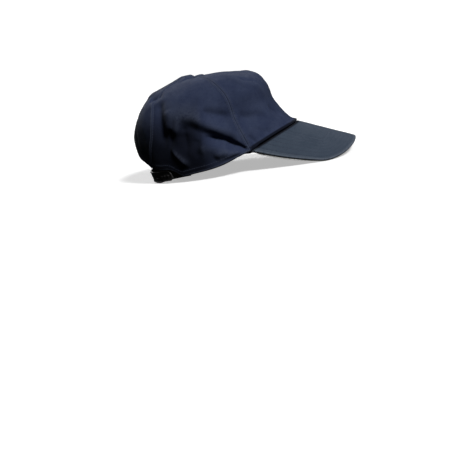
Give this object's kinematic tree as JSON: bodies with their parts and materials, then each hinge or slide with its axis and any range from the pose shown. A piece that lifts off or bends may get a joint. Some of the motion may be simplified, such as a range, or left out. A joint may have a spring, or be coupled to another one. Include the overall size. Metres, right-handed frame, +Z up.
{
  "type": "five-panel cloth cap",
  "caption": "Soft navy cotton cap with a curved bill, a covered top button and a black plastic snap strap, standing on its rim.",
  "frame": {"origin": "middle of the footprint, on the surface that the cap stands on", "axes": "+X forward towards the bill, +Y to the wearer's left, +Z up"},
  "size_m": [0.2796, 0.1608, 0.1239],
  "materials": {
    "navy_twill": "matte cotton twill",
    "bill_twill": "matte cotton twill, rubbed",
    "under_bill_cloth": "matte",
    "sweatband_cloth": "matte",
    "strap_plastic": "satin"
  },
  "bodies": {
    "root": {"front_panel": "navy_twill", "side_panel_right": "navy_twill", "side_panel_left": "navy_twill", "back_panel_right": "navy_twill", "back_panel_left": "navy_twill", "top_button": "navy_twill", "bill": "bill_twill", "under_bill": "under_bill_cloth", "sweatband": "sweatband_cloth", "strap_outer": "strap_plastic", "strap_inner": "strap_plastic"}
  },
  "joints": []
}
